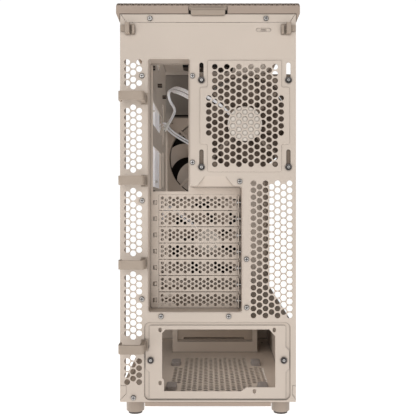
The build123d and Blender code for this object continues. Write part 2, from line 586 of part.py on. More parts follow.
def io_module():
    """The port block: it stays on the chassis and shows through the front cover's chin."""
    y1 = FRONT_FACE - 0.6
    module = block(IO_X, (deep(DEPTH + SHEET), y1), IO_Z)
    z = sum(IO_Z) / 2
    for x in (-6.0, 10.0):
        module -= block((x - 6.3, x + 6.3), (y1 - 12.0, y1 + 1), (z - 2.7, z + 2.7))
        module += block((x - 5.2, x + 5.2), (y1 - 12.5, y1 - 1.5), (z - 0.2, z + 1.6))
    module -= facing_rear(y1 - 10.0, 11.0, slot(24.0, z, 3.2, 9.0, upright=False))
    module += facing_rear(y1 - 10.5, 9.5, slot(24.0, z, 0.9, 6.4, upright=False))
    module -= rod("y", (36.5, z), 1.85, y1 - 14.0, y1 + 1)
    module -= rod("y", (-36.0, z), 4.85, y1 - 8.0, y1 + 1)
    return module - rod("y", (-23.0, z), 2.35, y1 - 8.0, y1 + 1)


def button(x, radius):
    y1, z = FRONT_FACE - 0.6, sum(IO_Z) / 2
    cap = rod("y", (x, z), radius, y1 - 6.0, y1 + 0.6)
    return fillet(cap.edges().filter_by(GeomType.CIRCLE).sort_by(Axis.Y)[-1], 0.5)


# ---------------------------------------------------------------- underside and inside
def foot(side, d):
    """A turned foot with a seat for its rubber pad."""
    centre = (side * FOOT_X, deep(d))
    body = rod("z", centre, FOOT_R, 3.0, PAN_Z)
    body = chamfer(body.edges().filter_by(GeomType.CIRCLE).sort_by(Axis.Z)[0], 0.6)
    return body - rod("z", centre, FOOT_R - 2.5, 2.0, 5.0)


def foot_pad(side, d):
    centre = (side * FOOT_X, deep(d))
    return rod("z", centre, FOOT_R - 2.7, 0.0, 5.0)


FILTER_X, FILTER_Y, FILTER_Z = (-76.5, 76.5), (4.0, 238.0), (19.6, 24.6)


def filter_frame():
    """The slide-out intake filter: a shallow frame with a finger bar at the rear and two cross ribs."""
    y = (deep(FILTER_Y[0]), deep(FILTER_Y[1]))
    windows = [rect((-70.0, 70.0), (deep(12 + k * 75.0), deep(12 + k * 75.0 + 70.0)), 3.0) for k in range(3)]
    frame = level(21.6, 3.0, rect(FILTER_X, y, 2.0), windows)
    return frame + block(FILTER_X, (y[0], y[0] + 4.0), FILTER_Z)


def filter_mesh():
    y = (deep(10), deep(234))
    return level(20.8, 0.8, rect((-72.0, 72.0), y), perforated((-72.0, 72.0), y, 12.0, 4.6, 6.0))


def filter_rails():
    made = []
    for side in (-1, 1):
        def at(low, high):
            return sorted((side * low, side * high))
        upright_leg = block(at(77.0, 78.4), (deep(16), deep(236)), (19.8, PAN_Z))
        lip = block(at(74.5, 78.4), (deep(16), deep(236)), (19.8, 20.6))
        made.append(upright_leg + lip)
    return made


def drive_cage():
    """The bay for two hard drives, open towards the cable side."""
    x, y, z = (-57.0, 79.0), (deep(264), deep(340)), (PAN_Z + SHEET, 112.0)
    cage = block(x, (y[0], y[0] + SHEET), (z[0], 44.0))
    cage += block(x, (y[1] - SHEET, y[1]), z)
    cage += block((x[1] - SHEET, x[1]), y, z)
    cage += block(x, y, (43.0, 44.0))
    cage += block(x, y, (111.0, 112.0))
    for low in (x[0], x[1] - 8.0):
        cage += block((low, low + 8.0), (y[0], y[0] + SHEET), z)
    for k in range(2):
        under = sled_z(k) - 0.4
        cage += block(x, (y[0] + 0.5, y[0] + 6.0), (under - SHEET, under))
        cage += block(x, (y[1] - 6.0, y[1] - 0.5), (under - SHEET, under))
    return cage


def sled_z(k):
    return 46.0 + 33.0 * k


def drive_sled(k):
    """A drive sled: floor, end walls, a grip at the cable side and a light slot in the rear wall."""
    z0 = sled_z(k)
    x, y = (-56.0, 76.0), (deep(267), deep(337))
    sled = level(z0, 2.0, rect(x, y, 2.0), [rect((-40, 60), (y[0] + 14, y[1] - 14), 4.0)])
    for low in (y[0], y[1] - 2.0):
        sled += block(x, (low, low + 2.0), (z0, z0 + 24.0))
    sled += block((x[0], x[0] + 3.0), y, (z0, z0 + 26.0))
    sled -= block((x[0] - 1, x[0] + 4), (y[0] + 18, y[1] - 18), (z0 + 8, z0 + 18))
    sled -= block((-39.0, 58.0), (y[0] - 1, y[0] + 3), (z0 + 1.6, z0 + 4.2))
    return sled


def psu_pads():
    return [block((x - 6.5, x + 6.5), (deep(d - 13), deep(d + 13)), (PAN_Z + SHEET, 32.5))
            for x in (-47.2, 71.0) for d in (58.0, 187.0)]


def standoff(d, z):
    """A board post with its stud through the tray and its threaded end open."""
    centre = (deep(d), z)
    post = rod("x", centre, 2.9, TRAY_X, TRAY_X + 6.35) + rod("x", centre, 1.85, TRAY_X - 2.0, TRAY_X)
    return post - rod("x", centre, 1.3, TRAY_X + 1.0, TRAY_X + 7.0)


def cable(points, radius, bends):
    """A round cable along straight runs joined by tangent arcs."""
    path = FilletPolyline(*points, radius=bends)
    start = Plane(origin=points[0], z_dir=(Vector(*points[1]) - Vector(*points[0])))
    return sweep(start * Circle(radius), path=path)


def bend_radii(points):
    """Each corner's arc: 0.45 of its shorter run over the tangent of half the turn."""
    radii = []
    for a, b, c in zip(points, points[1:], points[2:]):
        first, second = Vector(*b) - Vector(*a), Vector(*c) - Vector(*b)
        turn = math.radians(first.get_angle(second))
        radii.append(0.45 * min(first.length, second.length) / math.tan(turn / 2))
    return radii


CORDS = {
    "fan_loom": (2.6, [(-78.4, deep(206), 470), (-79.6, deep(210), 420), (-78.0, deep(213), 366),
                       (-79.8, deep(208), 310), (-78.2, deep(204), 252), (-79.8, deep(210), 196),
                       (-79.0, deep(220), 146), (-78.4, deep(232), 96)]),
    "port_loom": (3.4, [(-83.8, deep(190), 452), (-84.2, deep(196), 400), (-83.6, deep(200), 346),
                        (-84.2, deep(194), 292), (-83.6, deep(198), 238), (-84.2, deep(206), 186),
                        (-83.4, deep(214), 138), (-84.0, deep(224), 98)]),
    "button_loom": (1.8, [(-76.6, deep(224), 462), (-77.4, deep(221), 408), (-76.8, deep(217), 352),
                          (-77.6, deep(220), 296), (-77.0, deep(216), 240), (-77.8, deep(221), 190),
                          (-77.2, deep(230), 140), (-76.8, deep(243), 98)]),
    "rear_fan_lead": (1.6, [(26.6, deep(3.2), 373.9), (4.9, deep(3.2), 395.6), (-18.4, deep(3.2), 395.6),
                            (-18.4, deep(36), 399), (-34, deep(58), 411), (-47, deep(88), 419),
                            (-55.5, deep(116), 419.5), (-54, deep(136), 410), (-46, deep(140), 399.5),
                            (-50, deep(136), 388), (-55, deep(133), 379)]),
    "front_fan_lead_upper": (1.6, [(-17.5, deep(344.6), 361), (-36, deep(344.4), 372.5),
                                   (-53, deep(342), 382), (-65, deep(330), 390), (-69, deep(304), 395),
                                   (-72.4, deep(276), 396), (-81, deep(252), 384), (-83, deep(236), 354)]),
    "front_fan_lead_lower": (1.6, [(-17.5, deep(344.6), 219), (-40, deep(344.4), 241.5),
                                   (-58, deep(338), 258), (-66, deep(310), 258), (-72, deep(276), 248),
                                   (-81, deep(252), 230), (-83, deep(236), 200)]),
}
PLUGGED_BOTH_ENDS = ("fan_loom", "port_loom", "button_loom")
PLUG_LENGTH = 13.0


def cord_plugs():
    """A header plug on each cord's last end, and on the looms' first ends too, in line with its run."""
    found = []
    for name, (radius, points) in CORDS.items():
        ends = [(points[-1], points[-2])]
        if name in PLUGGED_BOTH_ENDS:
            ends.append((points[0], points[1]))
        for end, before in ends:
            run = (Vector(*end) - Vector(*before)).normalized()
            body = Box(2 * radius + 0.4, 2 * radius + 3.6, PLUG_LENGTH)
            found.append(Plane(origin=end, x_dir=(1, 0, 0), z_dir=run) * Pos(0, 0, PLUG_LENGTH / 2) * body)
    return found


# ---------------------------------------------------------------- write every piece
def main():
    save("rear_panel", rear_panel())
    save("slot_frame", slot_frame())
    for k in range(SLOTS):
        save(f"slot_cover_{k + 1}", slot_cover(k))
    save("slot_screws", *[pan_head("x", (deep(RECESS_DEPTH - 6.0), slot_z(k)), 37.0, -1, 2.9, 1.6, 1.5, 3.8)
                          for k in range(SLOTS)])
    save("psu_bracket", psu_bracket())
    save("psu_bracket_screws", *[thumbscrew(x, PSU_SCREW_Z, deep(0.8), 3.8, 2.2) for x in PSU_SCREW_X])
    save("bottom_pan", bottom_pan())
    save("top_frame", top_frame())
    save("board_tray", board_tray())
    save("board_standoffs", *[standoff(d, z) for d, z in board_holes()])
    save("psu_shroud", psu_shroud())
    save("front_frame", front_frame())
    for k in range(GATES):
        save(f"cable_gate_{k + 1}", cable_gate(k))
    save("gate_brackets", *[gate_bracket(k) for k in range(GATES)])
    save("panel_catches", corner_catch(-1), corner_catch(1))
    places = FRAME_SCREWS + OTHER_SCREWS
    save("panel_screws", *[pan_head("y", place, REAR, -1, shank=5.0) for place in places])
    notch = block((-17.0, 4.0), (REAR, deep(16.0)), (392.6, 398.6))
    save("rear_fan_frame", fan_frame(120, 57.5, 25, 2 * FAN_HOLE, 21.0, REAR_FAN, deep(1.4)) - notch)
    save("rear_fan_rotor", fan_rotor(57.5, 25, 20.5, 9, REAR_FAN, deep(1.4)))
    corner = [(REAR_FAN[0] + sx * FAN_HOLE, REAR_FAN[1] + sz * FAN_HOLE) for sx in (-1, 1) for sz in (-1, 1)]
    save("rear_fan_screws", *[thumbscrew(x, z, REAR, 3.9, 2.2) for x, z in corner])
    for name, z in zip(("upper", "lower"), FRONT_FANS_Z):
        save(f"front_fan_frame_{name}", fan_frame(140, 67.0, 25, 124.5, 24.0, (0.0, z), deep(346.6)))
        save(f"front_fan_rotor_{name}", fan_rotor(67.0, 25, 23.0, 7, (0.0, z), deep(346.6)))
    save("top_cover", top_cover())
    save("top_mesh", top_mesh())
    save("pull_tab", pull_tab())
    save("front_cover", front_cover())
    save("front_chin", front_chin())
    save("front_mesh", front_mesh())
    save("port_module", io_module())
    save("power_button", button(-36.0, 4.5))
    save("reset_button", button(-23.0, 2.0))
    for name, side, d in (("rear_left", -1, FOOT_REAR), ("rear_right", 1, FOOT_REAR),
                          ("front_left", -1, FOOT_FRONT), ("front_right", 1, FOOT_FRONT)):
        save(f"foot_{name}", foot(side, d))
    save("foot_pads", *[foot_pad(side, d) for side in (-1, 1) for d in (FOOT_REAR, FOOT_FRONT)])
    save("filter_frame", filter_frame())
    save("filter_mesh", filter_mesh())
    save("filter_rails", *filter_rails())
    save("drive_cage", drive_cage())
    save("drive_sled_lower", drive_sled(0))
    save("drive_sled_upper", drive_sled(1))
    save("psu_pads", *psu_pads())
    save("cord_plugs", *cord_plugs())
    for name, (radius, points) in CORDS.items():
        radii = bend_radii(points)
        print(name, "bend radii", [round(r) for r in radii])
        save(name, cable(points, radius, radii))


main()
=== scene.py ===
import bmesh
import bpy
import json
import math
from mathutils import Matrix, Vector


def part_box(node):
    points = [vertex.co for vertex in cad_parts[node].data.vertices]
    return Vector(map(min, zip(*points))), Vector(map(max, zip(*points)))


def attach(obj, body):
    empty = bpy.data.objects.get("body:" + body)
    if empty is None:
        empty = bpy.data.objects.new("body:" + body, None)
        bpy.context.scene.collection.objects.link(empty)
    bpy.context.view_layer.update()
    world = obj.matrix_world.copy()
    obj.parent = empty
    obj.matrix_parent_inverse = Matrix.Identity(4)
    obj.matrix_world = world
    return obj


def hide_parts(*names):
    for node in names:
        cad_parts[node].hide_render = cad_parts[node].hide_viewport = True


# A computer tower, seen square from behind.  Lengths are in the frame's metres, and N * MM is N millimetres.
# Z is up, the rear panel faces -Y, and +X is to the right as seen from the rear.

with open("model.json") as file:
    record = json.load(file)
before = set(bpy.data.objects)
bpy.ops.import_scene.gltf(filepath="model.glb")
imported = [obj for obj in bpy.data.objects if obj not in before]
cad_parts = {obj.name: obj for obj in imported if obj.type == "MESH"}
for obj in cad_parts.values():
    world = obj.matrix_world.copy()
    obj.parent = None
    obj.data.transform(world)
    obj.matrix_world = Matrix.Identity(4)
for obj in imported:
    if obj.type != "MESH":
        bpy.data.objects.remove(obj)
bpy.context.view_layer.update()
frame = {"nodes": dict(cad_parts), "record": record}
NODES = frame["nodes"]
MM = 0.001
ROOM_LIGHT = (0.06, 0.52)                  # strength of the room's light, from the far side and the near one
RANGE_INPUTS = ("From Min", "From Max", "To Min", "To Max")
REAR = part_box("slot_frame")[0][1]          # outer face of the rear panel
MIDDLE = (0.0, 0.0, 0.25)                  # what most of the lamps point at
CAMERA_AWAY, CAMERA_HEIGHT = 0.8, 0.265
LAMP_COLOUR = (1.0, 0.985, 0.965)
TOP_PITCH, FRONT_PITCH = 3.9 * MM, 4.4 * MM  # hole to hole in the top and the front mesh
TOP_ROLL, SKIRT = 3.0 * MM, 0.4 * MM       # the top mesh's rolled edge: its radius and its straight part
MESH_THICK = 0.9 * MM
EDGE_ANGLE, SHARP_ANGLE = math.radians(38), math.radians(35)  # edges that are rounded, and that stay crisp


def deep(distance):
    """The Y of a plane this many millimetres in from the rear face."""
    return REAR + distance * MM


# ---------------------------------------------------------------- camera, lights and backdrop
def look_at(thing, target):
    """Turns a lamp's own -Z axis to the target."""
    thing.rotation_euler = (Vector(target) - thing.location).to_track_quat("-Z", "Y").to_euler()


def make_camera():
    """Square on to the rear panel, a little above the middle of its height."""
    camera = bpy.data.objects.new("camera", bpy.data.cameras.new("camera"))
    camera.data.sensor_width = 36.0
    camera.data.lens = 57.35
    camera.data.shift_y = -0.0096
    camera.location = (0.0, REAR - CAMERA_AWAY, CAMERA_HEIGHT)
    camera.rotation_euler = (math.pi / 2, 0.0, 0.0)
    bpy.context.collection.objects.link(camera)
    bpy.context.scene.camera = camera


def soft_box(name, place, target, size, watts):
    """A rectangular lamp that the camera doesn't see."""
    lamp = bpy.data.lights.new(name, "AREA")
    lamp.shape, lamp.size, lamp.size_y = "RECTANGLE", size[0], size[1]
    lamp.energy, lamp.color = watts, LAMP_COLOUR
    holder = bpy.data.objects.new(name, lamp)
    holder.location = place
    look_at(holder, target)
    holder.visible_camera = False
    bpy.context.collection.objects.link(holder)


def make_room():
    """A white room: brighter on the camera's side, and pure white where the camera sees it."""
    world = bpy.data.worlds.new("studio")
    world.use_nodes = True
    tree, link = world.node_tree, world.node_tree.links.new
    room = tree.nodes["Background"]
    room.inputs["Color"].default_value = (1.0, 0.99, 0.975, 1.0)
    heading = tree.nodes.new("ShaderNodeSeparateXYZ")
    link(tree.nodes.new("ShaderNodeTexCoord").outputs["Generated"], heading.inputs[0])
    front = tree.nodes.new("ShaderNodeMapRange")
    for name, value in zip(RANGE_INPUTS, (0.1, -1.0, *ROOM_LIGHT)):
        front.inputs[name].default_value = value
    link(heading.outputs["Y"], front.inputs["Value"])
    link(front.outputs["Result"], room.inputs["Strength"])
    backdrop = tree.nodes.new("ShaderNodeBackground")
    backdrop.inputs["Strength"].default_value = 1.05
    backdrop.inputs["Color"].default_value = (1.0, 1.0, 1.0, 1.0)
    mix = tree.nodes.new("ShaderNodeMixShader")
    link(tree.nodes.new("ShaderNodeLightPath").outputs["Is Camera Ray"], mix.inputs[0])
    link(room.outputs[0], mix.inputs[1])
    link(backdrop.outputs[0], mix.inputs[2])
    link(mix.outputs[0], tree.nodes["World Output"].inputs["Surface"])
    bpy.context.scene.world = world
    bpy.context.scene.view_settings.view_transform = "Standard"


def make_lamps():
    """Two soft boxes on the camera's side, one above, one low at the left and a faint one in the bay."""
    soft_box("key", (-0.55, -1.85, 0.75), MIDDLE, (0.8, 0.8), 7.0)
    soft_box("fill", (0.9, -1.7, 0.4), MIDDLE, (1.0, 1.0), 2.6)
    soft_box("top", (0.0, -0.3, 1.7), MIDDLE, (1.0, 1.0), 0.8)
    soft_box("low_left", (-1.1, 0.05, 0.16), (0.0, 0.0, 0.06), (0.5, 0.16), 3.0)
    soft_box("bay", (0.012, -0.075, 0.117), (0.012, -0.07, 0.02), (0.12, 0.16), 0.055)


def make_floor():
    """A bright floor that meets the backdrop without a line."""
    bpy.ops.mesh.primitive_plane_add(size=24.0, location=(0.0, 0.0, -0.0004))
    floor = bpy.context.object
    floor.name = "floor"
    look = bpy.data.materials.new("floor")
    look.use_nodes = True
    shader = look.node_tree.nodes["Principled BSDF"]
    shader.inputs["Base Color"].default_value = (0.86, 0.855, 0.845, 1.0)
    shader.inputs["Roughness"].default_value = 0.8
    shader.inputs["Specular IOR Level"].default_value = 0.1
    shader.inputs["Emission Color"].default_value = (1.0, 1.0, 1.0, 1.0)
    shader.inputs["Emission Strength"].default_value = 0.92
    floor.data.materials.append(look)


# ---------------------------------------------------------------- materials
def linear(colour):
    """Linear light from 8-bit sRGB values."""
    def one(value):
        value /= 255.0
        return value / 12.92 if value <= 0.04045 else ((value + 0.055) / 1.055) ** 2.4
    return tuple(one(value) for value in colour)


class Look:
    """A principled material with a small node-building vocabulary."""

    def __init__(self, name, roughness, metallic=0.0):
        self.material = bpy.data.materials.new(name)
        self.material.use_nodes = True
        self.tree = self.material.node_tree
        self.shader = self.tree.nodes["Principled BSDF"]
        self.shader.inputs["Roughness"].default_value = roughness
        self.shader.inputs["Metallic"].default_value = metallic
        self.coordinates = self.tree.nodes.new("ShaderNodeTexCoord").outputs["Object"]

    def add(self, kind, **values):
        """A new node of this kind, with its settings."""
        node = self.tree.nodes.new(kind)
        for key, value in values.items():
            setattr(node, key, value)
        return node

    def join(self, output, target):
        self.tree.links.new(output, target)

    def noise(self, scale, detail=2.0, stretch=None):
        """Smooth noise from 0 to 1, with scale features to the metre."""
        node = self.add("ShaderNodeTexNoise")
        node.inputs["Scale"].default_value = scale
        node.inputs["Detail"].default_value = detail
        source = self.coordinates
        if stretch:
            mapping = self.add("ShaderNodeMapping")
            mapping.inputs["Scale"].default_value = stretch
            self.join(source, mapping.inputs["Vector"])
            source = mapping.outputs["Vector"]
        self.join(source, node.inputs["Vector"])
        return node.outputs["Fac"]

    def cells(self, scale):
        """The distance to the middle of the nearest cell."""
        node = self.add("ShaderNodeTexVoronoi")
        node.inputs["Scale"].default_value = scale
        self.join(self.coordinates, node.inputs["Vector"])
        return node.outputs["Distance"]

    def span(self, value, low, high, from_low=0.3, from_high=0.7):
        """Carries a value from one range to another, and holds it there."""
        node = self.add("ShaderNodeMapRange")
        for key, number in zip(RANGE_INPUTS, (from_low, from_high, low, high)):
            node.inputs[key].default_value = number
        self.join(value, node.inputs["Value"])
        return node.outputs["Result"]

    def colour(self, value, dark, light, low=0.3, high=0.7):
        """A colour between dark and light as the value goes from low to high."""
        ramp = self.add("ShaderNodeValToRGB")
        ramp.color_ramp.elements[0].position, ramp.color_ramp.elements[1].position = low, high
        ramp.color_ramp.elements[0].color = (*dark, 1.0)
        ramp.color_ramp.elements[1].color = (*light, 1.0)
        self.join(value, ramp.inputs["Fac"])
        return ramp.outputs["Color"]

    def paint(self, colour):
        self.join(colour, self.shader.inputs["Base Color"])

    def shaded(self, colour, reach=2.6 * MM, least=0.34):
        """The colour with painted shade: darker in seams and corners, down to the share least where reach
        holds no open sky.
        """
        open_sky = self.add("ShaderNodeAmbientOcclusion", samples=6)
        open_sky.inputs["Distance"].default_value = reach
        by = self.add("ShaderNodeVectorMath", operation="SCALE")
        self.join(colour, by.inputs[0])
        self.join(self.span(open_sky.outputs["AO"], least, 1.0, 0.3, 0.92), by.inputs["Scale"])
        return by.outputs["Vector"]

    def rough(self, value):
        self.join(value, self.shader.inputs["Roughness"])

    def bump(self, *layers):
        """Stacks height layers, each (value, strength, distance in metres)."""
        normal = None
        for value, strength, distance in layers:
            node = self.add("ShaderNodeBump")
            node.inputs["Strength"].default_value = strength
            node.inputs["Distance"].default_value = distance
            self.join(value, node.inputs["Height"])
            if normal:
                self.join(normal, node.inputs["Normal"])
            normal = node.outputs["Normal"]
        self.join(normal, self.shader.inputs["Normal"])


def scaled(colour, by):
    """The colour times a factor, held to 1."""
    return tuple(min(1.0, value * by) for value in colour)


def powder_coat(name, colour, shift=0.05, roughness=0.5, fade=None):
    """Matte powder coat: orange-peel skin, faint mottling, fine grain, and painted shade in its seams and
    corners. fade is (from height, to height, share left), where the paint lies in the shade of the roof."""
    look = Look(name, roughness)
    base = linear(colour)
    broad = look.noise(7.0, 3.0)
    # painted shade: the paint is darker in seams and corners
    paint = look.shaded(look.colour(broad, scaled(base, 1.0 - shift), scaled(base, 1.0 + shift)))
    if fade:
        height = look.add("ShaderNodeSeparateXYZ")
        look.join(look.coordinates, height.inputs[0])
        dim = look.add("ShaderNodeVectorMath", operation="SCALE")
        look.join(paint, dim.inputs[0])
        look.join(look.span(height.outputs["Z"], 1.0, fade[2], fade[0], fade[1]), dim.inputs["Scale"])
        paint = dim.outputs["Vector"]
    look.paint(paint)
    look.rough(look.span(look.noise(240.0, 3.0), roughness - 0.06, roughness + 0.08))
    look.bump((look.noise(420.0, 2.0), 0.16, 0.0003), (look.noise(2600.0, 2.0), 0.25, 0.00005))
    look.shader.inputs["Specular IOR Level"].default_value = 0.42
    return look.material


def moulded(name, colour, shift=0.05, roughness=0.58, grain=1500.0):
    """Moulded plastic with a spark-eroded texture, and painted shade in its seams and corners."""
    look = Look(name, roughness)
    base = linear(colour)
    mottle = look.noise(16.0, 4.0)
    # painted shade: the plastic is darker in seams and corners
    look.paint(look.shaded(look.colour(mottle, scaled(base, 1.0 - shift), scaled(base, 1.0 + shift))))
    look.rough(look.span(look.noise(90.0, 2.0), roughness - 0.05, roughness + 0.07))
    look.bump((look.cells(grain), 0.22, 0.00008), (look.noise(grain * 2.0, 2.0), 0.2, 0.00004))
    return look.material


def plated_steel(name, colour=(188, 185, 183), side=0.08):
    """Plated steel: bright where a face is square to X or Y, with painted shade on rims and on faces that
    turn away from them.
    """
    look = Look(name, 0.3, metallic=0.75)
    base = linear(colour)
    # painted shade: faces tilted away from X and Y take the darker colour, the share side of the base
    turned = look.add("ShaderNodeSeparateXYZ")
    look.join(look.add("ShaderNodeNewGeometry").outputs["Normal"], turned.inputs[0])
    flat = look.add("ShaderNodeMath", operation="MAXIMUM")
    for k, axis in enumerate("XY"):
        size = look.add("ShaderNodeMath", operation="ABSOLUTE")
        look.join(turned.outputs[axis], size.inputs[0])
        look.join(size.outputs[0], flat.inputs[k])
    look.paint(look.colour(flat.outputs[0], scaled(base, side), base, 0.72, 0.97))
    look.rough(look.span(look.noise(300.0, 4.0), 0.22, 0.42))
    look.bump((look.noise(1200.0, 2.0, stretch=(1.0, 0.1, 1.0)), 0.12, 0.00006))
    return look.material


def dust_cloth(name, colour):
    """Fine woven nylon: crossed threads in the bump and the colour."""
    look = Look(name, 0.9)
    base, threads = linear(colour), []
    for axis in "XYZ":
        wave = look.add("ShaderNodeTexWave", wave_type="BANDS", bands_direction=axis)
        wave.inputs["Scale"].default_value = 420.0
        look.join(look.coordinates, wave.inputs["Vector"])
        threads.append(wave.outputs["Fac"])
    most = look.add("ShaderNodeMath", operation="MAXIMUM")
    look.join(threads[0], most.inputs[0])
    look.join(threads[1], most.inputs[1])
    both = look.add("ShaderNodeMath", operation="MAXIMUM")
    look.join(most.outputs[0], both.inputs[0])
    look.join(threads[2], both.inputs[1])
    look.paint(look.colour(both.outputs[0], scaled(base, 0.7), scaled(base, 1.15), 0.2, 0.9))
    look.bump((both.outputs[0], 0.4, 0.0001))
    return look.material


def soft_rubber(name, colour):
    """Rubber with a dull, dusty skin."""
    look = Look(name, 0.8)
    base = linear(colour)
    look.paint(look.colour(look.noise(60.0, 4.0), scaled(base, 0.88), scaled(base, 1.1)))
    look.rough(look.span(look.noise(700.0, 2.0), 0.72, 0.88))
    look.bump((look.noise(1800.0, 3.0), 0.35, 0.0001))
    return look.material


def foam(name, colour):
    """Open-cell foam: pits in two sizes, with painted shade in the larger pits."""
    look = Look(name, 0.95)
    base = linear(colour)
    pits = look.cells(900.0)
    # painted shade: darker towards the middle of each large pit
    look.paint(look.colour(pits, scaled(base, 0.62), scaled(base, 1.08), 0.05, 0.45))
    look.bump((pits, 0.6, 0.0004), (look.noise(2400.0, 2.0), 0.3, 0.0001))
    return look.material


def cable_jacket(name, colour):
    """Soft white insulation that lets a little light in."""
    look = Look(name, 0.42)
    base = linear(colour)
    look.paint(look.colour(look.noise(30.0, 3.0), scaled(base, 0.93), scaled(base, 1.03)))
    look.rough(look.span(look.noise(200.0, 2.0), 0.36, 0.5))
    look.bump((look.noise(900.0, 2.0), 0.12, 0.0001))
    look.shader.inputs["Subsurface Weight"].default_value = 0.05
    return look.material


CASE = (201, 188, 176)
# one look for each material slot of the record
LOOKS = {
    "case_paint": powder_coat("case_paint", CASE),
    "frame_paint": powder_coat("frame_paint", (190, 177, 165)),
    "cover_plastic": moulded("cover_plastic", (166, 149, 136)),
    "clip_plastic": moulded("clip_plastic", (166, 151, 137), grain=2200.0),
    "mesh_paint": powder_coat("mesh_paint", (160, 144, 131), roughness=0.55),
    "fan_plastic": moulded("fan_plastic", (176, 161, 148), grain=1900.0),
    "rotor_plastic": moulded("rotor_plastic", (186, 171, 158), roughness=0.45, grain=2600.0),
    "screw_steel": plated_steel("screw_steel"),
    "post_plating": plated_steel("post_plating", (112, 102, 94)),
    "cable_white": cable_jacket("cable_white", (244, 242, 244)),
    "plug_white": moulded("plug_white", (232, 229, 224), roughness=0.4),
    "pad_foam": foam("pad_foam", (146, 139, 135)),
    "foot_plastic": moulded("foot_plastic", (158, 144, 132), roughness=0.32),
    "foot_rubber": soft_rubber("foot_rubber", (84, 78, 74)),
    "port_plastic": moulded("port_plastic", (98, 90, 84), roughness=0.5),
    "button_plastic": moulded("button_plastic", (190, 177, 165), roughness=0.35),
    "filter_mesh": dust_cloth("filter_mesh", (44, 38, 33)),
}
# looks for the pieces that differ from the rest of their slot, some of them darker copies with painted shade
EXTRA = {
    "label": moulded("label", (222, 213, 203), roughness=0.4, grain=800.0),
    # painted shade: a darker copy of the screw steel for the thumbscrews' dished collars
    "collar_shade": plated_steel("collar_shade", (118, 113, 112), 0.35),
    "tie": moulded("tie", (214, 209, 202), roughness=0.45),
    # painted shade: near black, for the shade in the plugs' open contact slots
    "socket_dark": moulded("socket_dark", (40, 38, 37), roughness=0.4),
    # painted shade: near black, for the shade inside the screws' cross recesses
    "recess": plated_steel("recess", (46, 44, 46), 0.4),
    "upper_shade": powder_coat("upper_shade", CASE, fade=(0.37, 0.43, 0.32)),
    # painted shade: darker copies of the fan plastics for the rear fan's frame and blades behind the grille
    "fan_painted_shade": moulded("fan_painted_shade", (112, 97, 84), grain=1900.0),
    "blade_painted_shade": moulded("blade_painted_shade", (124, 108, 95), roughness=0.5, grain=2600.0),
}


def dress_cad():
    """Every carried-over node takes the material of its slot in the record; the rear fan's frame and the
    front frame then take darker copies with painted shade.
    """
    for part in frame["record"]["subparts"]:
        mesh = NODES[part["node"]].data
        mesh.materials.clear()
        mesh.materials.append(LOOKS[part["material_slot"]])
    # painted shade: darker copies for the rear fan's frame and the roof end of the front frame
    NODES["rear_fan_frame"].data.materials[0] = EXTRA["fan_painted_shade"]
    NODES["front_frame"].data.materials[0] = EXTRA["upper_shade"]


# the radius, in millimetres, of the edges of the nodes whose names start so
SOFTENED = {"cable_gate": 0.7, "panel_catch": 0.5, "foot_rear": 0.8, "foot_front": 0.8, "top_cover": 0.5,
            "front_cover": 0.7, "front_chin": 0.7, "port_module": 0.3, "drive_sled": 0.35,
            "gate_brackets": 0.25, "filter_frame": 0.4}


def soften_cad():
    """Rounds the sharp edges of the moulded parts."""
    for name, node in NODES.items():
        for start, width in SOFTENED.items():
            if name.startswith(start):
                weld = node.modifiers.new("weld", "WELD")
                weld.merge_threshold = 0.01 * MM
                bevel = node.modifiers.new("bevel", "BEVEL")
                bevel.width, bevel.segments = width * MM, 2
                bevel.limit_method, bevel.angle_limit = "ANGLE", EDGE_ANGLE
                bevel.harden_normals = False


# ---------------------------------------------------------------- mesh helpers
def piece(name, bm, body, slot, look=None, smooth=True):
    """Turns a bmesh into a finished piece: linked, riding on its body, with the look given or else the
    material of its slot.
    """
    mesh = bpy.data.meshes.new(name)
    bmesh.ops.recalc_face_normals(bm, faces=bm.faces)
    bm.to_mesh(mesh)
    bm.free()
    made = bpy.data.objects.new(name, mesh)
    bpy.context.collection.objects.link(made)
    mesh.materials.append(look or LOOKS[slot])
    if smooth:
        mesh.shade_smooth()
        mesh.set_sharp_from_angle(angle=SHARP_ANGLE)
    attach(made, body)
    return made


class Box:
    """A CAD node's box: its low and high corners, its middle and its half size."""

    def __init__(self, node):
        self.low, self.high = (Vector(corner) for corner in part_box(node))
        self.middle, self.half = (self.low + self.high) / 2, (self.high - self.low) / 2


def add_block(bm, size, place):
    """Adds a plain block of this size to a bmesh, centred on place, and returns its vertices."""
    made = bmesh.ops.create_cube(bm, size=1.0)["verts"]
    bmesh.ops.scale(bm, vec=size, verts=made)
    bmesh.ops.translate(bm, vec=place, verts=made)
    return made


def lathe(profile, place, turns=72):
    """A solid of revolution about Y: profile is a closed list of (radius, depth past place), millimetres."""
    bm = bmesh.new()
    x, y, z = place
    rings = []
    for k in range(turns):
        a = 2 * math.pi * k / turns
        rings.append([bm.verts.new((x + r * MM * math.cos(a), y + depth * MM, z + r * MM * math.sin(a)))
                      for r, depth in profile])
    for k in range(turns):
        first, second = rings[k], rings[(k + 1) % turns]
        for j in range(len(profile)):
            after = (j + 1) % len(profile)
            bm.faces.new((first[j], first[after], second[after], second[j]))
    bmesh.ops.remove_doubles(bm, verts=bm.verts, dist=1e-6)
    return bm


def rolled(value, edge, radius, lift):
    """Carries a flat coordinate round a rolled edge: returns the new coordinate and the drop."""
    start, side = edge - radius, 1.0 if value >= 0 else -1.0
    run = abs(value) - start
    if run <= 0:
        return value, lift
    angle = min(run / radius, math.pi / 2)
    past = max(0.0, run - radius * math.pi / 2)
    out = start + (radius + lift) * math.sin(angle)
    return side * out, (radius + lift) * math.cos(angle) - radius - past


def ring_points(u, v, radius, count):
    """Points evenly round a circle."""
    step = 2 * math.pi / count
    return [(u + radius * math.cos(step * k), v + radius * math.sin(step * k)) for k in range(count)]


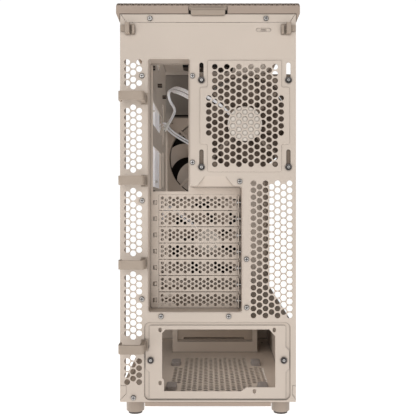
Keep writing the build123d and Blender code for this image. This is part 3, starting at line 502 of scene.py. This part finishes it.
def perforated_sheet(half_u, half_v, pitch, hole, roll, side):
    """One side's half of a hexagonally perforated sheet about the origin, as (points, faces); roll is the
    radius of a rolled edge, and side is -1 or 1."""
    arc = roll * (math.pi / 2) + SKIRT if roll else 0.0
    reach_u, reach_v = half_u - roll + arc, half_v - roll + arc
    column_step, corner = pitch * math.sqrt(3) / 2, pitch / math.sqrt(3)
    columns, rows = int(reach_u / column_step), int(reach_v / pitch)
    wide, tall = reach_u / (columns * column_step + corner), reach_v / ((rows + 0.5) * pitch)
    points, index, faces = [], {}, []

    def vertex(u, v, layer):
        key = (round(u / MM, 3), round(v / MM, 3), layer)
        if key not in index:
            index[key] = len(points)
            lift = -MESH_THICK if layer else 0.0
            u, v = u * wide, v * tall
            if roll:
                new_u, drop_u = rolled(u, half_u, roll, lift)
                new_v, drop_v = rolled(v, half_v, roll, lift)
                points.append((new_u, new_v, min(drop_u, drop_v)))
            else:
                points.append((u, v, lift))
        return index[key]

    for c in range(-columns, 0) if side < 0 else range(columns + 1):
        for r in range(-rows, rows + 1):
            cu, cv = c * column_step, (r + (0.5 if c % 2 else 0.0)) * pitch
            if cv > rows * pitch:
                continue
            rim, bore = ring_points(cu, cv, corner, 6), ring_points(cu, cv, hole, 12)
            for layer in (0, 1):
                outer = [vertex(*point, layer) for point in rim]
                inner = [vertex(*point, layer) for point in bore]
                for k in range(6):
                    near = [inner[(2 * k + 2) % 12], inner[2 * k + 1], inner[2 * k]]
                    ring = [outer[k], outer[(k + 1) % 6], *near]
                    faces.append(ring if layer == 0 else ring[::-1])
            top = [vertex(*point, 0) for point in bore]
            low = [vertex(*point, 1) for point in bore]
            for k in range(12):
                faces.append([top[k], top[(k + 1) % 12], low[(k + 1) % 12], low[k]])
    return points, faces


def border(bm):
    """The edges with a face on one side only."""
    return [edge for edge in bm.edges if len(edge.link_faces) == 1]


def perforated_piece(name, node, body, place, half, pitch, hole, roll=0.0):
    """Writes one perforated sheet as two halves, and puts them in their place, a matrix."""
    for side, end in ((-1, "left"), (1, "right")):
        points, faces = perforated_sheet(half[0], half[1], pitch, hole, roll, side)
        bm = bmesh.new()
        made = [bm.verts.new(point) for point in points]
        for face in faces:
            bm.faces.new([made[k] for k in face])
        bmesh.ops.bridge_loops(bm, edges=border(bm))
        bmesh.ops.transform(bm, matrix=place, verts=bm.verts)
        sheet = piece(f"{name}_{end}", bm, body, "mesh_paint", smooth=False)
        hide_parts(node)


def cloth_piece(name, node, body, place, half):
    """A dust cloth with its welded hem: a thin closed sheet, a little thicker along its border."""
    bm = bmesh.new()
    hem, inner, outer = 3.0 * MM, 0.15 * MM, 0.4 * MM
    for sign in (-1, 1):
        rings = []
        for inset, lift in ((0.0, 0.0), (0.0, outer), (hem, outer), (hem + 0.4 * MM, inner)):
            u, v = half[0] - inset, half[1] - inset
            rings.append([bm.verts.new((x, y, sign * lift)) for x, y in ((-u, -v), (u, -v), (u, v), (-u, v))])
        for first, second in zip(rings, rings[1:]):
            for k in range(4):
                bm.faces.new((first[k], first[(k + 1) % 4], second[(k + 1) % 4], second[k]))
        bm.faces.new(rings[-1])
    bmesh.ops.remove_doubles(bm, verts=bm.verts, dist=1e-7)
    bmesh.ops.transform(bm, matrix=place, verts=bm.verts)
    cloth = piece(name, bm, body, "filter_mesh", smooth=False)
    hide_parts(node)


def make_meshes():
    """The fine perforated sheets of the top and the front, each with a dust cloth, and the intake filter."""
    upright = Matrix.Rotation(-math.pi / 2, 4, "X")
    top, front, filter_box = Box("top_mesh"), Box("front_mesh"), Box("filter_mesh")
    perforated_piece("top_mesh_sheet", "top_mesh", "top_lid",
                     Matrix.Translation((top.middle.x, top.middle.y, top.high.z)),
                     (top.half.x, top.half.y), TOP_PITCH, 0.33 * TOP_PITCH, roll=TOP_ROLL)
    cloth_piece("top_dust_cloth", "top_mesh", "top_lid",
                Matrix.Translation((top.middle.x, top.middle.y, top.high.z - 2.2 * MM)),
                (top.half.x - 9 * MM, top.half.y - 9 * MM))
    perforated_piece("front_mesh_sheet", "front_mesh", "front_door",
                     Matrix.Translation((front.middle.x, front.high.y, front.middle.z)) @ upright,
                     (front.half.x - 2 * MM, front.half.z - 2 * MM), FRONT_PITCH, 0.34 * FRONT_PITCH)
    cloth_piece("front_dust_cloth", "front_mesh", "front_door",
                Matrix.Translation((front.middle.x, front.low.y - 0.6 * MM, front.middle.z)) @ upright,
                (front.half.x - 4 * MM, front.half.z - 4 * MM))
    cloth_piece("filter_cloth", "filter_mesh", "intake_filter", Matrix.Translation(filter_box.middle),
                (filter_box.half.x - 1 * MM, filter_box.half.y - 1 * MM))


# ---------------------------------------------------------------- fans
def blade(bm, place, hub_r, tip_r, y_low, y_high, start, width):
    """One swept, twisted and cambered blade, thick in the middle and thin at both edges."""
    spans, chords, sweep = 12, 12, 0.42
    across, centre_y = y_high - y_low, (y_low + y_high) / 2
    corner = {}
    for side in (0, 1):
        for i in range(spans + 1):
            t = i / spans
            radius = hub_r + (tip_r - hub_r) * t
            chord_angle = width * (1.0 - 0.12 * t)
            rise = across * (0.94 - 0.34 * t)
            for j in range(chords + 1):
                c = j / chords
                angle = start + sweep * t * t + chord_angle * (c - 0.5)
                camber = 0.1 * across * math.sin(math.pi * c)
                bulge = math.sin(math.pi * min(max(c, 0.06), 0.94)) * (1.0 - 0.35 * t)
                thick = (0.8 * bulge + 0.12) * MM
                y = centre_y + rise * (c - 0.5) + camber - (thick if side else -thick)
                spot = (place[0] + radius * math.cos(angle), min(max(y, y_low), y_high),
                        place[2] + radius * math.sin(angle))
                corner[side, i, j] = bm.verts.new(spot)

    def quad(*keys):
        bm.faces.new([corner[key] for key in keys])

    for side in (0, 1):
        for i in range(spans):
            for j in range(chords):
                quad((side, i, j), (side, i + 1, j), (side, i + 1, j + 1), (side, i, j + 1))
    for i in range(spans):
        for j in (0, chords):
            quad((0, i, j), (0, i + 1, j), (1, i + 1, j), (1, i, j))
    for j in range(chords):
        for i in (0, spans):
            quad((0, i, j), (0, i, j + 1), (1, i, j + 1), (1, i, j))


def make_rotor(node, body, blades, hub_r, tip_gap, cover, look=None):
    """A hub cup with a rounded shoulder, its shaft, and swept blades. hub_r and tip_gap, from the blades to
    the frame's ring, are in millimetres. cover is the blades' share of the circle: over 1 they overlap."""
    ring, shoulder, wall, roof, shaft_r, overlap = 3.0, 2.4, 1.6, 2.6, 2.0, 0.8
    housing = Box(node.replace("rotor", "frame"))
    place = (housing.middle.x, housing.low.y, housing.middle.z)
    tip = housing.half.x - (ring + tip_gap) * MM
    back, front = 4.4, 2 * housing.half.y / MM - 0.8
    shaft_end = (Box(node).low.y - housing.low.y) / MM
    curve = [(hub_r - shoulder * (1 - math.sin(a)), front - shoulder * (1 - math.cos(a)))
             for a in (math.pi / 2 * k / 5 for k in range(6))]
    profile = [(0.0, front), *curve, (hub_r, back), (hub_r - wall, back), (hub_r - wall, front - roof),
               (shaft_r, front - roof), (shaft_r, shaft_end), (0.0, shaft_end)]
    bm = lathe(profile, place)
    for k in range(blades):
        blade(bm, place, (hub_r - overlap) * MM, tip, place[1] + back * MM, place[1] + front * MM,
              2 * math.pi * k / blades, 2 * math.pi / blades * cover)
    fan = piece(node.replace("rotor", "impeller"), bm, body, "rotor_plastic", look)
    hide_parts(node)


def make_label(node, radius):
    """The plain round sticker on a fan's motor base; the radius is in millimetres."""
    housing = Box(node)
    face, rim, back = -0.14, -0.06, -0.02
    profile = [(0.0, face), (radius - 0.2, face), (radius, rim), (radius, back), (0.0, back)]
    bm = lathe(profile, (housing.middle.x, housing.low.y, housing.middle.z))
    piece(node.replace("frame", "label"), bm, "chassis", "fan_plastic", EXTRA["label"])


def make_fans():
    """The nine-bladed rear fan and the two seven-bladed front fans."""
    # painted shade: the rear impeller takes a darker copy of its plastic
    make_rotor("rear_fan_rotor", "rear_rotor", 9, 20.5, 1.1, 1.16, EXTRA["blade_painted_shade"])
    for level in ("upper", "lower"):
        make_rotor(f"front_fan_rotor_{level}", f"front_rotor_{level}", 7, 23.0, 1.6, 0.68)
    make_label("rear_fan_frame", 20.8)
    for level in ("upper", "lower"):
        make_label(f"front_fan_frame_{level}", 20.0)


# ---------------------------------------------------------------- screws and pads
def make_thumbscrews(node, rows, r=None):
    """Collared screws at the ends of a group's box in one row, or at its corners in two: a dished collar,
    darker with painted shade, round a bright driver boss. r is their radius in millimetres, which one row has
    as half its height."""
    group = Box(node)
    r = r or group.half.z / MM
    collar = [(0.5 * r, 1.9), (0.55 * r, 0.9), (0.8 * r, 0.25), (0.92 * r, 0.0), (r, 0.3), (r, 2.0),
              (0.9 * r, 2.2), (1.5, 2.2), (1.5, 7.5), (1.1, 7.9), (0.0, 7.9), (0.0, 1.9)]
    boss = [(0.0, 0.5), (0.5, 0.5), (0.9, 0.05), (0.44 * r, 0.05), (0.5 * r, 0.35), (0.5 * r, 1.85),
            (0.0, 1.85)]
    columns = (group.low.x + r * MM, group.high.x - r * MM)
    levels = (group.low.z + r * MM, group.high.z - r * MM)[:rows]
    for k, spot in enumerate((x, group.low.y, z) for x in columns for z in levels):
        # painted shade: the dished collar takes a darker copy of the screw steel
        ring = piece(f"{node}_collar_{k + 1}", lathe(collar, spot, 48), "chassis", "screw_steel",
                     EXTRA["collar_shade"])
        cap = piece(f"{node}_boss_{k + 1}", lathe(boss, spot, 32), "chassis", "screw_steel")
        for made in (ring, cap):
            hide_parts(node)


def solids_of(node):
    """The box of each separate solid in a node, as (low, high) corners in the world."""
    owner, shape = {}, NODES[node]

    def root(key):
        while owner[key] != key:
            owner[key] = owner[owner[key]]
            key = owner[key]
        return key

    spots = [shape.matrix_world @ vertex.co for vertex in shape.data.vertices]
    keys = [tuple(round(value, 6) for value in spot) for spot in spots]
    for key in keys:
        owner.setdefault(key, key)
    for face in shape.data.polygons:
        first = root(keys[face.vertices[0]])
        for k in face.vertices[1:]:
            owner[root(keys[k])] = first
    boxes = {}
    for key in owner:
        low, high = boxes.setdefault(root(key), (Vector(key), Vector(key)))
        for axis in range(3):
            low[axis], high[axis] = min(low[axis], key[axis]), max(high[axis], key[axis])
    return [boxes[key] for key in sorted(boxes)]


def make_recesses():
    """Cross recesses in the pan heads of the panel screws: bars painted dark for the shade in the recesses,
    just proud of the heads.
    """
    bm = bmesh.new()
    width, thick, sunk = 0.84 * MM, 0.2 * MM, 0.04 * MM
    for low, high in solids_of("panel_screws"):
        middle, arm = (low + high) / 2, 0.62 * (high.x - low.x)
        for size_x, size_z in ((arm, width), (width, arm)):
            add_block(bm, (size_x, thick, size_z), (middle.x, low.y + sunk, middle.z))
    # painted shade: the dark colour stands for the shade inside the cross recesses
    piece("panel_screw_recesses", bm, "chassis", "screw_steel", EXTRA["recess"], smooth=False)


def make_pads():
    """The foam blocks under the power supply: crowned tops and rounded corners."""
    for k, (low, high) in enumerate(solids_of("psu_pads")):
        half, middle = (high - low) / 2, (high + low) / 2
        bm = bmesh.new()
        bmesh.ops.create_grid(bm, x_segments=12, y_segments=12, size=1.0)
        for vertex in bm.verts:
            u, v = vertex.co.x, vertex.co.y
            edge = max(abs(u), abs(v))
            squeeze = 1.0 - 0.08 * (abs(u * v)) ** 3
            crown = half.z * (1.0 - 0.34 * edge ** 8 - 0.05 * edge ** 2)
            vertex.co = (u * half.x * squeeze, v * half.y * squeeze, crown)
        skirt = bmesh.ops.extrude_edge_only(bm, edges=border(bm))["geom"]
        for item in skirt:
            if isinstance(item, bmesh.types.BMVert):
                item.co.z = -half.z
        bmesh.ops.contextual_create(bm, geom=border(bm))
        bmesh.ops.translate(bm, vec=middle, verts=bm.verts)
        pad = piece(f"psu_pad_{k + 1}", bm, "chassis", "pad_foam")
        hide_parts("psu_pads")


# ---------------------------------------------------------------- cords
# the plug's half width in millimetres, the count of wires, their radius, and the route: each point's X, its
# depth from the rear face and its Z
CORDS = {
    "fan_loom": (2.6, 5, 0.85, [
        (-78.4, 206, 470), (-79.6, 210, 420), (-78.0, 213, 366), (-79.8, 208, 310), (-78.2, 204, 252),
        (-79.8, 210, 196), (-79.0, 220, 146), (-78.4, 232, 96)]),
    "port_loom": (3.4, 5, 0.9, [
        (-83.8, 190, 452), (-84.2, 196, 400), (-83.6, 200, 346), (-84.2, 194, 292), (-83.6, 198, 238),
        (-84.2, 206, 186), (-83.4, 214, 138), (-84.0, 224, 98)]),
    "button_loom": (1.8, 3, 0.75, [
        (-76.6, 224, 462), (-77.4, 221, 408), (-76.8, 217, 352), (-77.6, 220, 296), (-77.0, 216, 240),
        (-77.8, 221, 190), (-77.2, 230, 140), (-76.8, 243, 98)]),
    "rear_fan_lead": (1.6, 6, 0.75, [
        (26.6, 3.2, 373.9), (4.9, 3.2, 395.6), (-18.4, 3.2, 395.6), (-18.4, 36, 399), (-34, 58, 411),
        (-47, 88, 419), (-55.5, 116, 419.5), (-54, 136, 410), (-46, 140, 399.5), (-50, 136, 388),
        (-55, 133, 379)]),
    "front_fan_lead_upper": (1.6, 4, 0.75, [
        (-17.5, 344.6, 361), (-36, 344.4, 372.5), (-53, 342, 382), (-65, 330, 390), (-69, 304, 395),
        (-72.4, 276, 396), (-81, 252, 384), (-83, 236, 354)]),
    "front_fan_lead_lower": (1.6, 4, 0.75, [
        (-17.5, 344.6, 219), (-40, 344.4, 241.5), (-58, 338, 258), (-66, 310, 258), (-72, 276, 248),
        (-81, 252, 230), (-83, 236, 200)]),
}
PLUGGED_BOTH_ENDS = ("fan_loom", "port_loom", "button_loom")
PLUG_LENGTH = 13.0
WIRE_STEP = 2.05                           # wire to wire in a flat lead, in wire radii
GATHERED = {"rear_fan_lead": (0.2, 0.68)}  # shares of the length between which a lead is spread flat
ALL_FLAT = (-0.1, 1.1)                     # the rest are flat from end to end


def spline_points(route):
    """Points along the route's own smooth line."""
    line = bpy.data.curves.new("route", "CURVE")
    line.dimensions = "3D"
    spline = line.splines.new("NURBS")
    spline.points.add(len(route) - 1)
    for point, place in zip(spline.points, route):
        point.co = (*place, 1.0)
    spline.order_u = 3
    spline.use_endpoint_u = True
    spline.resolution_u = 10
    holder = bpy.data.objects.new("route", line)
    mesh = bpy.data.meshes.new_from_object(holder)
    points = [Vector(vertex.co) for vertex in mesh.vertices]
    bpy.data.objects.remove(holder)
    bpy.data.curves.remove(line)
    bpy.data.meshes.remove(mesh)
    return points


def direction(points, k):
    """The unit direction of a line of points at its point k."""
    return (points[min(k + 1, len(points) - 1)] - points[max(k - 1, 0)]).normalized()


def path_length(points):
    """The length of a line of points."""
    return sum((b - a).length for a, b in zip(points, points[1:]))


def tube(bm, centres, radius):
    """A closed eight-sided tube round a list of (centre, side, up)."""
    sides, rings = 8, []
    turns = [2 * math.pi * k / sides for k in range(sides)]
    for centre, side, up in centres:
        rings.append([bm.verts.new(centre + radius * (side * math.cos(a) + up * math.sin(a))) for a in turns])
    for first, second in zip(rings, rings[1:]):
        for k in range(sides):
            bm.faces.new((first[k], first[(k + 1) % sides], second[(k + 1) % sides], second[k]))
    bm.faces.new(rings[0][::-1])
    bm.faces.new(rings[-1])


def ribbon(points, wires, thin, flat_from, flat_to):
    """A lead of parallel wires, side by side between two shares of its length and gathered in a bunch outside
    them."""
    bm = bmesh.new()
    total, run, last = path_length(points), 0.0, points[0]
    stations = []
    for k, point in enumerate(points):
        tangent = direction(points, k)
        run, last = run + (point - last).length, point
        share = run / total
        across = tangent.cross(Vector((0.0, 1.0, 0.0))).normalized()
        spread = min(1.0, max(0.0, (share - flat_from) / 0.1), max(0.0, (flat_to - share) / 0.1))
        stations.append((point, across, across.cross(tangent), spread))
    for j in range(wires):
        offset = j - (wires - 1) / 2
        split = math.copysign(0.3, offset) if wires % 2 == 0 else 0.0
        wide, tight = (offset + split) * WIRE_STEP * thin, 0.55 * offset * thin
        stagger = 0.9 * thin * (1 if j % 2 else -1)
        line = []
        for point, across, back, spread in stations:
            aside = across * (wide * spread + tight * (1 - spread))
            line.append((point + aside + back * stagger * (1 - spread), across, back))
        tube(bm, line, thin)
    return bm


def make_plug(name, end, run, radius):
    """A header plug: rounded shell, two ribs, and contact slots in its open end, painted dark for the shade
    in them. It starts at end and points along run."""
    width, height, length = (2 * radius + 0.4) * MM, (2 * radius + 3.6) * MM, PLUG_LENGTH * MM
    rib_in, shell_in, slot_step = 0.25 * MM, 0.3 * MM, 1.7 * MM
    bm = bmesh.new()
    add_block(bm, (width - shell_in, height - shell_in, length), (0.0, 0.0, 0.0))
    bmesh.ops.bevel(bm, geom=list(bm.edges), offset=0.5 * MM, segments=2, affect="EDGES", profile=0.6)
    for side in (-1, 1):
        add_block(bm, (0.5 * MM, 0.8 * MM, length * 0.55), (side * (width / 2 - rib_in), 0.0, -length * 0.1))
    side = Vector((1.0, 0.0, 0.0))
    side = (side - run * side.dot(run)).normalized()
    turn = Matrix((side, run.cross(side), run)).transposed().to_4x4()
    place = Matrix.Translation(end + run * length / 2) @ turn
    bmesh.ops.transform(bm, matrix=place, verts=bm.verts)
    plug = piece(name, bm, "chassis", "plug_white")
    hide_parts("cord_plugs")
    # painted shade: thin near-black blocks stand for the shade in the open contact slots
    slots = bmesh.new()
    for k in (-1, 0, 1):
        add_block(slots, (width * 0.45, 0.9 * MM, 0.3 * MM), (0.0, k * slot_step, length / 2 - 0.1 * MM))
    bmesh.ops.transform(slots, matrix=place, verts=slots.verts)
    slot_shade = piece(name + "_contacts", slots, "chassis", "plug_white", EXTRA["socket_dark"], smooth=False)
    return [plug, slot_shade]


def make_tie(name, point, tangent, radius):
    """A cable tie: a flat band round the bundle, with its lock."""
    bm = bmesh.new()
    side = tangent.orthogonal().normalized()
    up = tangent.cross(side)
    turns, band, thick = 28, 1.25 * MM, 0.5 * MM
    section = ((radius, -band), (radius + thick, -band), (radius + thick, band), (radius, band))
    rings = []
    for k in range(turns):
        a = 2 * math.pi * k / turns
        out = side * math.cos(a) + up * math.sin(a)
        rings.append([bm.verts.new(point + out * r + tangent * h) for r, h in section])
    for k in range(turns):
        first, second = rings[k], rings[(k + 1) % turns]
        for j in range(4):
            bm.faces.new((first[j], first[(j + 1) % 4], second[(j + 1) % 4], second[j]))
    lock = add_block(bm, (1.9 * MM, 3.0 * MM, 3.2 * MM), (0.0, 0.0, 0.0))
    turn = Matrix((side, up, tangent)).transposed().to_4x4()
    bmesh.ops.transform(bm, matrix=Matrix.Translation(point + side * (radius + 1.0 * MM)) @ turn, verts=lock)
    return piece(name, bm, "chassis", "plug_white", EXTRA["tie"])


def make_cords():
    """Every cable, with its plugs and ties, along its route."""
    for name, (radius, wires, thin, route) in CORDS.items():
        route = [Vector((x * MM, deep(y), z * MM)) for x, y, z in route]
        points = spline_points(route)
        made = ribbon(points, wires, thin * MM, *GATHERED.get(name, ALL_FLAT))
        cord = piece(name + "_wires", made, "chassis", "cable_white")
        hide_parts(name)
        riders = make_plug(name + "_plug", points[-1], (route[-1] - route[-2]).normalized(), radius)
        if name in PLUGGED_BOTH_ENDS:
            riders += make_plug(name + "_top_plug", points[0], (route[0] - route[1]).normalized(), radius)
            for k, share in enumerate((0.1, 0.45, 0.8)):
                at = int(share * (len(points) - 1))
                onward = (points[at + 1] - points[at]).normalized()
                riders.append(make_tie(f"{name}_tie_{k + 1}", points[at], onward, radius * MM))


# ---------------------------------------------------------------- run
make_camera()
make_room()
make_lamps()
make_floor()
dress_cad()
soften_cad()
make_cords()
make_meshes()
make_fans()
make_thumbscrews("psu_bracket_screws", 1)
make_thumbscrews("rear_fan_screws", 2, 3.9)
make_recesses()
make_pads()
